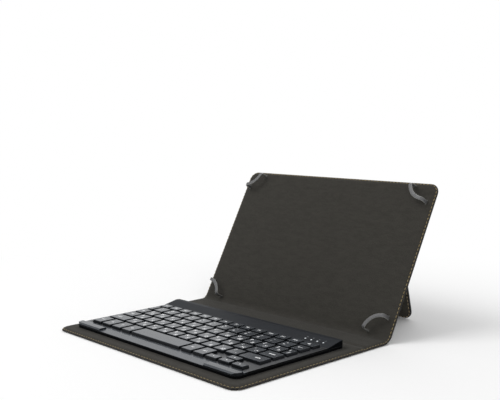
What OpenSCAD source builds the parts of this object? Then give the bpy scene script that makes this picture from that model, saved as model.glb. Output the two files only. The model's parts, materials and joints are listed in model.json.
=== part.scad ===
// Folding case for a tablet, with a slim wireless keyboard fixed in it.
// It stands open on its kickstand, as for typing. Sizes are in millimetres, +Z is up.
// The origin is the centre of the keyboard cover, on its flat underside.

/* [Tablet bay] */
// Width of the tablet that the corner bands hold
tablet_w = 243; // [225:1:250]
// Height of the tablet that the corner bands hold
tablet_h = 150; // [140:1:156]
// Thickness of the tablet
tablet_t = 7.5; // [6:0.5:10]
// From the fold to the tablet's lower edge
tablet_foot = 7.5; // [6.5:0.5:12]
// From the tablet's upper edge to the cover's edge
tablet_top = 5.5; // [5:0.5:12]
// From the tablet's end to the cover's edge
tablet_side = 8.5; // [6:0.5:16]

/* [Covers] */
// Thickness of the outer leather
skin_t = 1.0; // [0.8:0.1:1.4]
// Thickness of the stiffening board
board_t = 1.6; // [1.2:0.1:2.4]
// Thickness of the lining
lining_t = 0.8; // [0.5:0.1:1.2]
// Width of the leather that is turned in round each board
turned_edge = 5; // [4:0.5:8]
// Radius of the covers' outer corners
cover_corner_r = 10; // [6:0.5:14]
// Width of the spine, from fold line to fold line
spine_w = 34; // [28:1:42]
// Tilt of the tablet cover above the table
screen_tilt = 61; // [50:1:70]

/* [Folds] */
// From a fold line to the foot of the board's slope
fold_half = 3; // [2.5:0.1:4]
// Run of the slope from the fold up to the board
fold_slope = 1.5; // [1:0.1:2.5]
// Leather left standing between a fold and its board
fold_rim = 1.5; // [1:0.1:2.5]
// Gap at the round nose of a fold
hinge_gap = 0.3; // [0.2:0.05:0.5]
// Clearance round a board in its pocket
board_clear = 0.2; // [0.1:0.05:0.4]

/* [Kickstand] */
// Width of the kickstand
stand_w = 180; // [120:1:200]
// Height of its hinge line, along the cover from the fold
stand_v = 128; // [100:1:130]
// Lean of the kickstand above the table when it is open
stand_lean = 76; // [70:1:82]
// Radius of the kickstand's free corners
stand_corner_r = 9; // [5:0.5:14]
// Gap between the folded kickstand and the cover
stand_gap = 0.2; // [0.15:0.05:0.5]
// Height of the leather tab that is sewn above its hinge line
stand_tab = 10; // [8:0.5:12]

/* [Strap] */
// Width of the closing strap
strap_w = 26; // [18:1:36]
// Thickness of the strap
strap_t = 2.4; // [2:0.1:3.2]
// Length of the patch that is sewn to the cover
strap_patch_l = 20; // [14:1:22]
// Thickness of that patch
strap_patch_t = 2.0; // [1.2:0.1:2.6]
// Length of the tongue that lies over the other cover
strap_tip_l = 34; // [26:1:50]
// Radius of the tongue's tip corners
strap_tip_r = 10; // [4:0.5:12]
// Thickness of the tongue's inner layer
backing_t = 0.9; // [0.6:0.1:1.1]
// Gap between the strap and the cover's edge
strap_clear = 0.3; // [0.2:0.05:0.6]
// Diameter of the two closing magnets
magnet_d = 11; // [8:0.5:14]
// Thickness of the closing magnets
magnet_t = 1.0; // [0.8:0.1:1.1]
// From the strap's fold to the magnets' centre
magnet_in = 18; // [14:0.5:22]

/* [Corner bands] */
// Width of each elastic band
band_w = 4; // [3:0.25:6]
// Thickness of each elastic band
band_t = 1.2; // [0.8:0.1:1.6]
// From the tablet's corner to the band, along the long edge
band_long = 18; // [12:0.5:26]
// From the tablet's corner to the band, along the short edge
band_short = 15; // [10:0.5:24]
// Room between a band and the tablet
band_room = 0.8; // [0.5:0.1:1.5]
// Inner radius of a band's bends
band_bend_r = 1.5; // [1:0.1:2.5]
// Clearance of a band in its slit
slit_clear = 0.15; // [0.1:0.05:0.3]

/* [Keyboard] */
// From the cover's front edge to the keyboard
kb_front = 13.3; // [12:0.1:24]
// From the keyboard to the first fold line
kb_rear = 13.5; // [9:0.5:20]
// From the cover's end to the keyboard
kb_side = 13.3; // [8:0.1:24]
// Plain margin of the deck beside the keys
deck_side = 6; // [4:0.5:12]
// Depth of the rail in front of the keys
rail_d = 13; // [11:0.5:18]
// Depth of the raised housing behind the keys
hump_d = 24; // [22:0.5:32]
// Height that the raised housing rises above the deck
hump_rise = 3.5; // [3:0.1:5]
// Radius of the raised housing's rear edge
hump_r = 3; // [2:0.1:3.4]
// Height of the rail's end blocks above the deck
rail_rise = 1.3; // [0.8:0.1:2]
// Depth of the rail's end blocks
block_d = 8; // [6:0.5:9]
// Width of the finger recess in the rail
finger_w = 154; // [120:1:180]
// Height of the rail's front edge in the finger recess
lip_t = 0.6; // [0.4:0.1:0.9]
// Height of the base tray
base_h = 2.4; // [2.2:0.1:3.2]
// Thickness of the base tray's floor
floor_t = 0.8; // [0.6:0.1:1]
// Thickness of the side walls
wall_t = 1.5; // [1.2:0.1:2]
// Thickness of the deck and of the housing's top
deck_t = 1.2; // [1:0.1:1.6]
// Radius of the keyboard's corners
kb_corner_r = 6; // [4:0.5:9]
// Thickness of the pads that fix the keyboard
pad_t = 0.4; // [0.3:0.1:0.8]
// Depth of each pad
pad_d = 16; // [8:1:24]

/* [Keys] */
// Pitch of the letter keys, across and in depth
key_pitch = 16.4; // [15:0.1:16.8]
// Depth pitch of the function row
fn_pitch = 12.8; // [11:0.1:15]
// Depth pitch of the space bar's row
space_pitch = 20.4; // [18:0.1:22]
// Gap between neighbouring caps
key_gap = 2.6; // [2:0.1:3.2]
// Gap between the stacked arrow keys
arrow_gap = 1.4; // [1.2:0.1:2]
// Height of the caps above the deck
key_rise = 2.5; // [2:0.1:3.2]
// Travel of a key
key_travel = 1.5; // [1:0.1:1.5]
// Clearance between a cap and its well
key_clear = 0.35; // [0.25:0.05:0.45]
// How far each side of a cap leans in
key_draft = 0.5; // [0.2:0.05:0.8]
// Chamfer round a cap's top
key_edge = 0.3; // [0.15:0.05:0.5]
// Radius of a cap's corners
key_r = 0.9; // [0.4:0.1:1.4]
// Wall and top of a cap
key_wall = 1.0; // [0.8:0.1:1.2]
// Diameter of the post under a cap
post_d = 3.2; // [2.4:0.1:3.8]
// Diameter of a rubber dome at its foot
dome_d = 5.4; // [4.5:0.1:6]

/* [Electronics] */
// Thickness of the steel plate under the keys
plate_t = 0.4; // [0.3:0.1:0.6]
// Thickness of the dome sheet
sheet_t = 0.3; // [0.2:0.1:0.4]
// Thickness of the circuit board
pcb_t = 0.8; // [0.6:0.1:1]
// Length of the battery
battery_w = 96; // [60:1:110]
// Depth of the battery
battery_d = 13; // [9:0.5:14]
// Thickness of the battery
battery_t = 2.4; // [2:0.1:2.6]
// Diameter of the indicator lights
light_d = 1.6; // [1.2:0.1:2]
// Pitch of the indicator lights
light_pitch = 7.2; // [5:0.1:9]
// From the keyboard's right end to the last light
light_end = 11.5; // [9:0.5:18]
// Width of the charging socket
socket_w = 7.6; // [7:0.1:8.2]
// Height of the charging socket
socket_h = 2.6; // [2.4:0.1:2.8]
// Length of the charging socket
socket_l = 5.6; // [5:0.1:7]
// Metal thickness of the charging socket
socket_wall = 0.35; // [0.25:0.05:0.5]
// Travel of the power switch
switch_travel = 2; // [1.5:0.1:2.5]
// Length of the power switch's nub
switch_l = 2.2; // [1.8:0.1:2.8]
// Height of the power switch's nub
switch_h = 1.0; // [0.8:0.1:1.2]
// How far the nub stands out of the wall
switch_out = 0.7; // [0.5:0.1:1]

/* [Hidden] */
$fn = 48;
past = 1;
thick = skin_t + board_t + lining_t;
shell_t = skin_t + board_t;
nose_r = (skin_t + lining_t) / 2;
nose_end = nose_r + hinge_gap;
board_start = fold_half + fold_slope + fold_rim;

// Key rows from the rear, in units of the key pitch
field_units = 13.5;
narrow_unit = 0.6;
tab_unit = 0.9;
caps_unit = 1.2;
shift_unit = 1.7;
fn_unit = 0.95;
space_unit = field_units - 9;
function ones(n) = [for (i = [1:n]) 1];
row_units = [
  concat([for (i = [1:13]) fn_unit], [field_units - 13 * fn_unit]),
  concat([narrow_unit], ones(12), [field_units - 12 - narrow_unit]),
  concat([tab_unit], ones(12), [field_units - 12 - tab_unit]),
  concat([caps_unit], ones(11), [field_units - 11 - caps_unit]),
  concat([shift_unit], ones(10), [field_units - 10 - shift_unit]),
  concat(ones(4), [space_unit], ones(5))
];
field_edge = 0.2;
field_w = field_units * key_pitch;
field_d = fn_pitch + 4 * key_pitch + space_pitch;
kb_w = field_w + 2 * deck_side;
kb_d = rail_d + field_d + 2 * field_edge + hump_d;

// Each cover is as large as the keyboard or the tablet needs
cover_w = max(kb_w + 2 * kb_side, tablet_w + 2 * tablet_side);
cover_d = max(kb_front + kb_d + kb_rear, tablet_foot + tablet_h + tablet_top);
fold_one_y = cover_d / 2;
fold_two_y = fold_one_y + spine_w;
kb_y = -cover_d / 2 + kb_front + kb_d / 2;

// Heights in the keyboard
base_z = thick + pad_t;
floor_z = base_z + floor_t;
rim_z = base_z + base_h;
deck_z = rim_z + deck_t;
sheet_z = floor_z + plate_t + sheet_t;
press_room = 0.1;
key_z = sheet_z + key_travel + press_room;
key_h = deck_z + key_rise - key_z;
dome_gap = 0.05;
dome_h = key_travel + press_room - dome_gap;
dome_top_d = post_d;
inner_clear = 0.3;

// Places in the keyboard, from its centre
field_rear = kb_d / 2 - hump_d - field_edge;
hump_y = kb_d / 2 - hump_d;
rail_y = -kb_d / 2;
hump_flat = hump_d - hump_r - 4;
hump_slope = hump_rise / hump_flat;
light_y = 0.42 * hump_flat;
socket_y = hump_d - kb_corner_r - inner_clear - socket_w / 2;
switch_y = 7;
slider_t = 1.2;
slider_side = 0.4;
switch_z = floor_z + pcb_t + inner_clear;
pcb_left_w = 62;
pcb_right_w = 36;
pcb_strip_d = 3;
pcb_front = wall_t + 0.6;
pcb_rear = hump_d - kb_corner_r;

// The kickstand's hinge and length, so that its foot stands on the table
stand_axis_z = -(stand_gap + nose_r);
stand_axis_up = nose_r + stand_v * sin(screen_tilt) + (stand_axis_z - nose_r) * cos(screen_tilt);
stand_l = (stand_axis_up - nose_r * cos(stand_lean)) / sin(stand_lean);
stand_open = 180 - stand_lean - screen_tilt;

// The strap's fold line, and the span that reaches round the closed case
strap_lift = 0.4;
strap_cut = 0.15;
strap_axis_y = cover_d + strap_clear;
strap_axis_z = -(strap_patch_t + strap_t + strap_lift);
strap_span = 2 * nose_r + spine_w - strap_axis_z + strap_clear;
patch_r = 4;

// The strap hangs straight down, or leans back where the open kickstand is in its way
hang_clear = 1.5;
strap_reach = strap_span + strap_cut + strap_tip_l;
strap_room = (strap_axis_y - stand_v) * sin(stand_open) + (stand_axis_z - strap_axis_z) * cos(stand_open)
  - (thick - nose_r) - strap_t - hang_clear;
strap_hang = max(90, 180 - stand_lean - asin(strap_room / strap_reach));

leather = [0.07, 0.07, 0.08];
cloth = [0.22, 0.21, 0.19];
greyboard = [0.45, 0.42, 0.38];
elastic = [0.05, 0.05, 0.05];
black_plastic = [0.10, 0.11, 0.12];
cap_grey = [0.20, 0.20, 0.22];
steel = [0.70, 0.71, 0.73];

// Places: each cover is modelled lying flat, with its fold line at y = 0 and the leather below

module on_keyboard_cover() {
  translate([0, fold_one_y, 0]) mirror([0, 1, 0]) children();
}

module on_spine() {
  translate([0, fold_one_y, 0]) children();
}

module on_tablet_cover() {
  translate([0, fold_two_y, nose_r]) rotate([screen_tilt, 0, 0]) translate([0, 0, -nose_r]) children();
}

module on_kickstand() {
  on_tablet_cover() translate([0, stand_v, stand_axis_z]) rotate([stand_open, 0, 0])
    mirror([0, 1, 0]) mirror([0, 0, 1]) translate([0, 0, -nose_r]) children();
}

module on_strap() {
  on_tablet_cover() translate([0, strap_axis_y, strap_axis_z]) rotate([strap_hang - screen_tilt, 0, 0]) children();
}

module on_keyboard() {
  translate([0, kb_y, 0]) children();
}

// A section drawn in Y and Z, drawn out along X
module along_x(w) {
  rotate([90, 0, 90]) linear_extrude(w, center = true) children();
}

module rounded_plan(w, d, r) {
  square([w - 2 * r, d], center = true);
  square([w, d - 2 * r], center = true);
  for (sx = [-1, 1], sy = [-1, 1]) translate([sx * (w / 2 - r), sy * (d / 2 - r)]) circle(r);
}

// Outline of a cover: straight at its fold, with two round free corners
module cover_plan(w, d, r) {
  translate([-w / 2, -past]) square([w, d - r + past]);
  translate([r - w / 2, 0]) square([w - 2 * r, d]);
  for (side = [-1, 1]) translate([side * (w / 2 - r), d - r]) circle(r);
}

// Section of a cover's leather: thin at the fold, then up round the board
module skin_section(d, nosed) {
  start = nosed ? 0 : nose_end;
  polygon([
    [start, 0], [d, 0], [d, shell_t], [fold_half + fold_slope, shell_t],
    [fold_half, skin_t], [start, skin_t]
  ]);
  if (nosed) translate([0, nose_r]) circle(nose_r);
}

// Section of a cover's lining: it dips to the leather at the fold
module lining_section(d, nosed) {
  start = nosed ? nose_r + board_clear : nose_end;
  polygon([
    [start, skin_t], [fold_half, skin_t], [fold_half + fold_slope, shell_t], [d, shell_t],
    [d, thick], [fold_half + fold_slope, thick], [fold_half, skin_t + lining_t],
    [start, skin_t + lining_t]
  ]);
}

module cover_skin(w, d, r, nosed) {
  difference() {
    intersection() {
      along_x(w) skin_section(d, nosed);
      translate([0, 0, -past]) linear_extrude(thick + 2 * past) cover_plan(w, d, r);
    }
    translate([turned_edge - w / 2, board_start, skin_t])
      cube([w - 2 * turned_edge, d - turned_edge - board_start, board_t + past]);
  }
}

module cover_lining(w, d, r, nosed) {
  intersection() {
    along_x(w) lining_section(d, nosed);
    translate([0, 0, -past]) linear_extrude(thick + 2 * past) cover_plan(w, d, r);
  }
}

module cover_board(w, d) {
  inset = turned_edge + board_clear;
  translate([inset - w / 2, board_start + board_clear, skin_t])
    cube([w - 2 * inset, d - inset - board_start - board_clear, board_t]);
}

// Keyboard cover

module keyboard_cover_skin() {
  color(leather) on_keyboard_cover() cover_skin(cover_w, cover_d, cover_corner_r, false);
}

module keyboard_cover_board() {
  color(greyboard) on_keyboard_cover() difference() {
    cover_board(cover_w, cover_d);
    translate([0, cover_d - magnet_in, 0]) cylinder(h = thick, d = magnet_d + 2 * board_clear);
  }
}

module keyboard_cover_lining() {
  color(cloth) on_keyboard_cover() cover_lining(cover_w, cover_d, cover_corner_r, false);
}

module catch_magnet() {
  color(steel) on_keyboard_cover() translate([0, cover_d - magnet_in, skin_t])
    cylinder(h = magnet_t, d = magnet_d);
}

// Spine, with a fold line on each side

module spine_skin() {
  far = spine_w - fold_half;
  color(leather) on_spine() difference() {
    along_x(cover_w) {
      polygon([
        [0, 0], [spine_w - nose_end, 0], [spine_w - nose_end, skin_t], [far, skin_t],
        [far - fold_slope, shell_t], [fold_half + fold_slope, shell_t], [fold_half, skin_t], [0, skin_t]
      ]);
      translate([0, nose_r]) circle(nose_r);
    }
    translate([turned_edge - cover_w / 2, board_start, skin_t])
      cube([cover_w - 2 * turned_edge, spine_w - 2 * board_start, board_t + past]);
  }
}

module spine_board() {
  inset = turned_edge + board_clear;
  start = board_start + board_clear;
  color(greyboard) on_spine() translate([inset - cover_w / 2, start, skin_t])
    cube([cover_w - 2 * inset, spine_w - 2 * start, board_t]);
}

module spine_lining() {
  far = spine_w - fold_half;
  start = nose_r + board_clear;
  end = spine_w - nose_end;
  color(cloth) on_spine() along_x(cover_w) polygon([
    [start, skin_t], [fold_half, skin_t], [fold_half + fold_slope, shell_t], [far - fold_slope, shell_t],
    [far, skin_t], [end, skin_t], [end, skin_t + lining_t], [far, skin_t + lining_t],
    [far - fold_slope, thick], [fold_half + fold_slope, thick], [fold_half, skin_t + lining_t],
    [start, skin_t + lining_t]
  ]);
}

// Tablet cover

module tablet_cover_skin() {
  color(leather) on_tablet_cover() cover_skin(cover_w, cover_d, cover_corner_r, true);
}

module tablet_cover_board() {
  color(greyboard) on_tablet_cover() cover_board(cover_w, cover_d);
}

module tablet_cover_lining() {
  color(cloth) on_tablet_cover() difference() {
    cover_lining(cover_w, cover_d, cover_corner_r, true);
    for (side = [-1, 1], upper = [false, true]) band_corner(side, upper) band_slits();
  }
}

// Corner bands: each crosses one corner of the tablet, over its face and down both edges

band_run = [band_long + band_room, band_short + band_room];
band_span = norm(band_run);
band_top = thick + tablet_t + band_room + band_t;

// Moves a piece from the lower right corner to any corner of the tablet
module band_corner(side, upper) {
  mirror([side < 0 ? 1 : 0, 0, 0]) translate([0, upper ? 2 * tablet_foot + tablet_h : 0, 0])
    mirror([0, upper ? 1 : 0, 0]) children();
}

module on_band() {
  translate([tablet_w / 2 - band_long + band_run[0] / 2, tablet_foot - band_room + band_run[1] / 2, 0])
    rotate([0, 0, atan2(band_run[1], band_run[0])]) children();
}

// A round-topped doorway, drawn across its span and up
module doorway(half, low, high, r) {
  translate([-half, low]) square([2 * half, high - r - low]);
  translate([r - half, low]) square([2 * (half - r), high - low]);
  for (side = [-1, 1]) translate([side * (half - r), high - r]) circle(r);
}

module corner_band() {
  on_band() rotate([90, 0, 0]) linear_extrude(band_w, center = true) difference() {
    doorway((band_span + band_t) / 2, shell_t, band_top, band_bend_r + band_t);
    doorway((band_span - band_t) / 2, shell_t - past, band_top - band_t, band_bend_r);
  }
}

module band_slits() {
  slit = [band_t + 2 * slit_clear, band_w + 2 * slit_clear, thick];
  on_band() for (side = [-1, 1]) translate([side * band_span / 2, 0, shell_t + thick / 2])
    cube(slit, center = true);
}

module placed_band(side, upper) {
  color(elastic) on_tablet_cover() band_corner(side, upper) corner_band();
}

module band_top_left() {
  placed_band(-1, true);
}

module band_top_right() {
  placed_band(1, true);
}

module band_bottom_left() {
  placed_band(-1, false);
}

module band_bottom_right() {
  placed_band(1, false);
}

// Kickstand: a stiffened flap that hangs from a sewn tab on the back of the tablet cover

module kickstand_tab() {
  color(leather) on_tablet_cover() translate([-stand_w / 2, stand_v + nose_end, -skin_t])
    cube([stand_w, stand_tab, skin_t]);
}

module kickstand_lining() {
  color(leather) on_kickstand() cover_skin(stand_w, stand_l, stand_corner_r, true);
}

module kickstand_board() {
  color(greyboard) on_kickstand() cover_board(stand_w, stand_l);
}

module kickstand_skin() {
  color(leather) on_kickstand() cover_lining(stand_w, stand_l, stand_corner_r, true);
}

// Closing strap: a sewn patch, a span across the edge and a tongue with a magnet

module strap_patch() {
  color(leather) on_tablet_cover() translate([0, cover_d - strap_clear - strap_patch_l, -strap_patch_t])
    linear_extrude(strap_patch_t) {
      translate([-strap_w / 2, patch_r]) square([strap_w, strap_patch_l - patch_r]);
      translate([patch_r - strap_w / 2, 0]) square([strap_w - 2 * patch_r, patch_r]);
      for (side = [-1, 1]) translate([side * (strap_w / 2 - patch_r), patch_r]) circle(patch_r);
    }
}

module strap_bridge() {
  color(leather) on_strap() translate([-strap_w / 2, strap_cut - strap_span, 0])
    cube([strap_w, strap_span - strap_cut, strap_t]);
}

// Outline of the tongue, from the strap's second fold to its round tip
module tongue_plan() {
  mirror([0, 1]) translate([0, strap_span + strap_cut]) {
    translate([-strap_w / 2, 0]) square([strap_w, strap_tip_l - strap_tip_r]);
    translate([strap_tip_r - strap_w / 2, 0]) square([strap_w - 2 * strap_tip_r, strap_tip_l]);
    for (side = [-1, 1]) translate([side * (strap_w / 2 - strap_tip_r), strap_tip_l - strap_tip_r])
      circle(strap_tip_r);
  }
}

module strap_tongue() {
  color(leather) on_strap() difference() {
    translate([0, 0, backing_t]) linear_extrude(strap_t - backing_t) tongue_plan();
    translate([0, -strap_span - magnet_in, backing_t - past])
      cylinder(h = magnet_t + board_clear + past, d = magnet_d + 2 * board_clear);
  }
}

module strap_backing() {
  color(leather) on_strap() linear_extrude(backing_t) tongue_plan();
}

module strap_magnet() {
  color(steel) on_strap() translate([0, -strap_span - magnet_in, backing_t])
    cylinder(h = magnet_t, d = magnet_d);
}

// Keyboard housing

module kb_plan(inset) {
  rounded_plan(kb_w - 2 * inset, kb_d - 2 * inset, kb_corner_r - inset);
}

module fixing_pads() {
  color("dimgray") on_keyboard() for (side = [-1, 1])
    translate([0, side * (kb_d / 2 - kb_corner_r - pad_d / 2), thick + pad_t / 2])
      cube([kb_w - 4 * kb_corner_r, pad_d, pad_t], center = true);
}

// Cut-outs in the left wall for the charging socket and for the travel of the switch
module side_openings() {
  slot = switch_l + switch_travel + inner_clear;
  translate([-kb_w / 2, hump_y, 0]) {
    translate([0, socket_y, floor_z + pcb_t + socket_h / 2])
      cube([4 * wall_t, socket_w + inner_clear, socket_h + inner_clear], center = true);
    translate([0, switch_y, switch_z + switch_h / 2])
      cube([4 * wall_t, slot, switch_h + inner_clear], center = true);
  }
}

module keyboard_base() {
  color(black_plastic) on_keyboard() difference() {
    translate([0, 0, base_z]) linear_extrude(base_h) kb_plan(0);
    translate([0, 0, floor_z]) linear_extrude(base_h) kb_plan(wall_t);
    side_openings();
  }
}

// The part of the keyboard's outline between two depths
module kb_slice(from, to) {
  intersection() {
    kb_plan(0);
    translate([-kb_w / 2, from]) square([kb_w, to - from]);
  }
}

module keyboard_deck() {
  color(black_plastic) on_keyboard() difference() {
    translate([0, 0, rim_z]) linear_extrude(deck_t) kb_slice(rail_y + rail_d, hump_y);
    translate([0, 0, rim_z - past]) linear_extrude(deck_t + 2 * past)
      for (cell = all_cells) translate([cell[0], cell[1]])
        rounded_plan(cell[2] + 2 * key_clear, cell[3] + 2 * key_clear, key_r + key_clear);
  }
}

// Rail in front of the keys: two raised end blocks, and a sloped finger recess between them
module front_rail() {
  crest = deck_t + rail_rise;
  color(black_plastic) on_keyboard() difference() {
    intersection() {
      translate([0, rail_y, rim_z]) along_x(kb_w) polygon([
        [0, 0], [rail_d, 0], [rail_d, deck_t], [block_d + rail_rise, deck_t], [block_d, crest],
        [rail_rise, crest], [0, deck_t]
      ]);
      translate([0, 0, rim_z]) linear_extrude(crest) kb_slice(rail_y, rail_y + rail_d);
    }
    translate([0, rail_y, rim_z]) along_x(finger_w) polygon([
      [-past, lip_t], [0, lip_t], [block_d + rail_rise, deck_t], [block_d + rail_rise, crest + past],
      [-past, crest + past]
    ]);
  }
}

// Section of the raised housing: it ramps up from the deck to a round rear edge
module hump_section(top) {
  high = top + hump_rise;
  polygon([
    [0, 0], [hump_d, 0], [hump_d, high - hump_r], [hump_d - hump_r, high], [hump_flat, high], [0, top]
  ]);
  translate([hump_d - hump_r, high - hump_r]) circle(hump_r);
}

module hump_hollow_section() {
  polygon([
    [wall_t, -past], [hump_d - wall_t, -past], [hump_d - wall_t, hump_rise + deck_t - hump_r],
    [hump_d - hump_r, hump_rise], [hump_flat, hump_rise], [wall_t, wall_t * hump_slope]
  ]);
}

function light_x(i) = kb_w / 2 - light_end - i * light_pitch;

module rear_housing() {
  color(black_plastic) on_keyboard() difference() {
    intersection() {
      translate([0, hump_y, rim_z]) along_x(kb_w) hump_section(deck_t);
      translate([0, 0, rim_z]) linear_extrude(deck_t + hump_rise) kb_slice(hump_y, kb_d / 2);
    }
    intersection() {
      translate([0, hump_y, rim_z]) along_x(kb_w) hump_hollow_section();
      translate([0, 0, base_z]) linear_extrude(base_h + deck_t + hump_rise) kb_plan(wall_t);
    }
    for (i = [0:3]) translate([light_x(i), hump_y + light_y, base_z])
      cylinder(h = base_h + deck_t + hump_rise, d = light_d + inner_clear);
    side_openings();
  }
}

// Inside the keyboard

module key_plate() {
  color(steel) on_keyboard() translate([wall_t + inner_clear - kb_w / 2, rail_y + rail_d, floor_z])
    cube([kb_w - 2 * (wall_t + inner_clear), field_d, plate_t]);
}

module dome_sheet() {
  color("silver") on_keyboard() {
    translate([wall_t + inner_clear - kb_w / 2, rail_y + rail_d, floor_z + plate_t])
      cube([kb_w - 2 * (wall_t + inner_clear), field_d, sheet_t]);
    for (cell = all_cells) translate([cell[0], cell[1], sheet_z])
      cylinder(h = dome_h, d1 = dome_d, d2 = dome_top_d);
  }
}

// The board carries the switch and the socket at the left and the lights at the right
module main_board() {
  inset = wall_t + inner_clear;
  color("darkgreen") on_keyboard() translate([inset - kb_w / 2, hump_y, floor_z]) linear_extrude(pcb_t) {
    translate([0, pcb_front]) square([pcb_left_w, pcb_rear - pcb_front]);
    translate([0, pcb_front]) square([kb_w - 2 * inset, pcb_strip_d]);
    translate([kb_w - 2 * inset - pcb_right_w, pcb_front])
      square([pcb_right_w, light_y + pcb_strip_d - pcb_front]);
  }
}

module battery() {
  start = pcb_front + pcb_strip_d + inner_clear;
  color("lightgray") on_keyboard() translate([-battery_w / 2, hump_y + start, floor_z])
    cube([battery_w, battery_d, battery_t]);
}

// Light pipes, cut flush with the housing's slope
module indicator_lights() {
  color("white") on_keyboard() intersection() {
    for (i = [0:3]) translate([light_x(i), hump_y + light_y, floor_z + pcb_t])
      cylinder(h = base_h + deck_t + hump_rise, d = light_d);
    translate([0, hump_y, floor_z]) along_x(kb_w) hump_section(base_h - floor_t + deck_t);
  }
}

module charge_socket() {
  color(steel) on_keyboard() translate([-kb_w / 2, hump_y + socket_y, floor_z + pcb_t]) difference() {
    translate([0, -socket_w / 2, 0]) cube([socket_l, socket_w, socket_h]);
    translate([-past, socket_wall - socket_w / 2, socket_wall])
      cube([socket_l - socket_wall + past, socket_w - 2 * socket_wall, socket_h - 2 * socket_wall]);
  }
}

// Switch slider: a plate behind the wall, with a nub through its slot
module power_switch() {
  inside = wall_t + inner_clear / 2;
  low = (switch_travel + inner_clear) / 2;
  color("dimgray") on_keyboard() translate([-kb_w / 2, hump_y + switch_y - switch_travel / 2, switch_z]) {
    translate([-switch_out, -switch_l / 2, 0]) cube([switch_out + inside, switch_l, switch_h]);
    translate([inside, -switch_l / 2 - low / 2, -slider_side / 2])
      cube([slider_t, switch_l + low, switch_h + slider_side]);
  }
}

// Keys: a cell is the centre, width and depth of one cap, kept to a hundredth of a millimetre

function snap(v) = round(v * 100) / 100;
function units_before(row, i) = i == 0 ? 0 : row_units[row][i - 1] + units_before(row, i - 1);
function row_pitch(row) = row == 0 ? fn_pitch : row == 5 ? space_pitch : key_pitch;
function row_start(row) = row == 0 ? field_rear : row_start(row - 1) - row_pitch(row - 1);
function row_y(row) = row_start(row) - row_pitch(row) / 2;
function key_x(row, i) = -field_w / 2 + key_pitch * (units_before(row, i) + row_units[row][i] / 2);
function key_cell(row, i) =
  [
    snap(key_x(row, i)), snap(row_y(row)),
    snap(key_pitch * row_units[row][i] - key_gap), row_pitch(row) - key_gap
  ];
function row_cells(row, from, to) = [for (i = [from:to]) key_cell(row, i)];

// Arrow keys are half as deep: side is -1 at the front of the row and 1 at its rear
arrow_d = snap((space_pitch - key_gap - arrow_gap) / 2);
function arrow_cell(i, side) =
  [snap(key_x(5, i)), snap(row_y(5) + side * (arrow_d + arrow_gap) / 2), key_pitch - key_gap, arrow_d];

all_cells = concat(
  row_cells(0, 0, 13), row_cells(1, 0, 13), row_cells(2, 0, 13), row_cells(3, 0, 12),
  row_cells(4, 0, 11), row_cells(5, 0, 6),
  [arrow_cell(7, -1), arrow_cell(8, 1), arrow_cell(8, -1), arrow_cell(9, -1)]
);

// Section of a cap across its width or depth: leaning sides and a chamfered top
module cap_section(w) {
  polygon([
    [-w / 2, 0], [w / 2, 0], [w / 2 - key_draft, key_h - key_edge], [w / 2 - key_draft - key_edge, key_h],
    [key_edge + key_draft - w / 2, key_h], [key_draft - w / 2, key_h - key_edge]
  ]);
}

module keycap(w, d) {
  difference() {
    intersection() {
      linear_extrude(key_h) rounded_plan(w, d, key_r);
      along_x(w) cap_section(d);
      rotate([90, 0, 0]) linear_extrude(d, center = true) cap_section(w);
    }
    translate([key_wall - w / 2, key_wall - d / 2, -past])
      cube([w - 2 * key_wall, d - 2 * key_wall, key_h - key_wall + past]);
  }
  cylinder(h = key_h - key_wall / 2, d = post_d);
}

module keys(cells) {
  color(cap_grey) on_keyboard() for (cell = cells)
    translate([cell[0], cell[1], key_z]) keycap(cell[2], cell[3]);
}

module escape_key() {
  keys([key_cell(0, 0)]);
}

module function_keys() {
  keys(row_cells(0, 1, 12));
}

module lock_key() {
  keys([key_cell(0, 13)]);
}

module number_keys() {
  keys(row_cells(1, 0, 12));
}

module backspace_key() {
  keys([key_cell(1, 13)]);
}

module tab_key() {
  keys([key_cell(2, 0)]);
}

module upper_letter_keys() {
  keys(row_cells(2, 1, 13));
}

module caps_key() {
  keys([key_cell(3, 0)]);
}

module middle_letter_keys() {
  keys(row_cells(3, 1, 11));
}

module enter_key() {
  keys([key_cell(3, 12)]);
}

module left_shift_key() {
  keys([key_cell(4, 0)]);
}

module lower_letter_keys() {
  keys(row_cells(4, 1, 10));
}

module right_shift_key() {
  keys([key_cell(4, 11)]);
}

module control_key() {
  keys([key_cell(5, 0)]);
}

module fn_key() {
  keys([key_cell(5, 1)]);
}

module system_key() {
  keys([key_cell(5, 2)]);
}

module alt_key() {
  keys([key_cell(5, 3)]);
}

module space_key() {
  keys([key_cell(5, 4)]);
}

module right_alt_key() {
  keys([key_cell(5, 5)]);
}

module right_control_key() {
  keys([key_cell(5, 6)]);
}

module left_arrow_key() {
  keys([arrow_cell(7, -1)]);
}

module up_arrow_key() {
  keys([arrow_cell(8, 1)]);
}

module down_arrow_key() {
  keys([arrow_cell(8, -1)]);
}

module right_arrow_key() {
  keys([arrow_cell(9, -1)]);
}

keyboard_cover_skin();
keyboard_cover_board();
keyboard_cover_lining();
catch_magnet();
spine_skin();
spine_board();
spine_lining();
tablet_cover_skin();
tablet_cover_board();
tablet_cover_lining();
band_top_left();
band_top_right();
band_bottom_left();
band_bottom_right();
kickstand_tab();
kickstand_skin();
kickstand_board();
kickstand_lining();
strap_patch();
strap_bridge();
strap_tongue();
strap_backing();
strap_magnet();
fixing_pads();
keyboard_base();
key_plate();
dome_sheet();
keyboard_deck();
front_rail();
rear_housing();
main_board();
battery();
indicator_lights();
charge_socket();
power_switch();
escape_key();
function_keys();
lock_key();
number_keys();
backspace_key();
tab_key();
upper_letter_keys();
caps_key();
middle_letter_keys();
enter_key();
left_shift_key();
lower_letter_keys();
right_shift_key();
control_key();
fn_key();
system_key();
alt_key();
space_key();
right_alt_key();
right_control_key();
left_arrow_key();
up_arrow_key();
down_arrow_key();
right_arrow_key();
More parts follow.
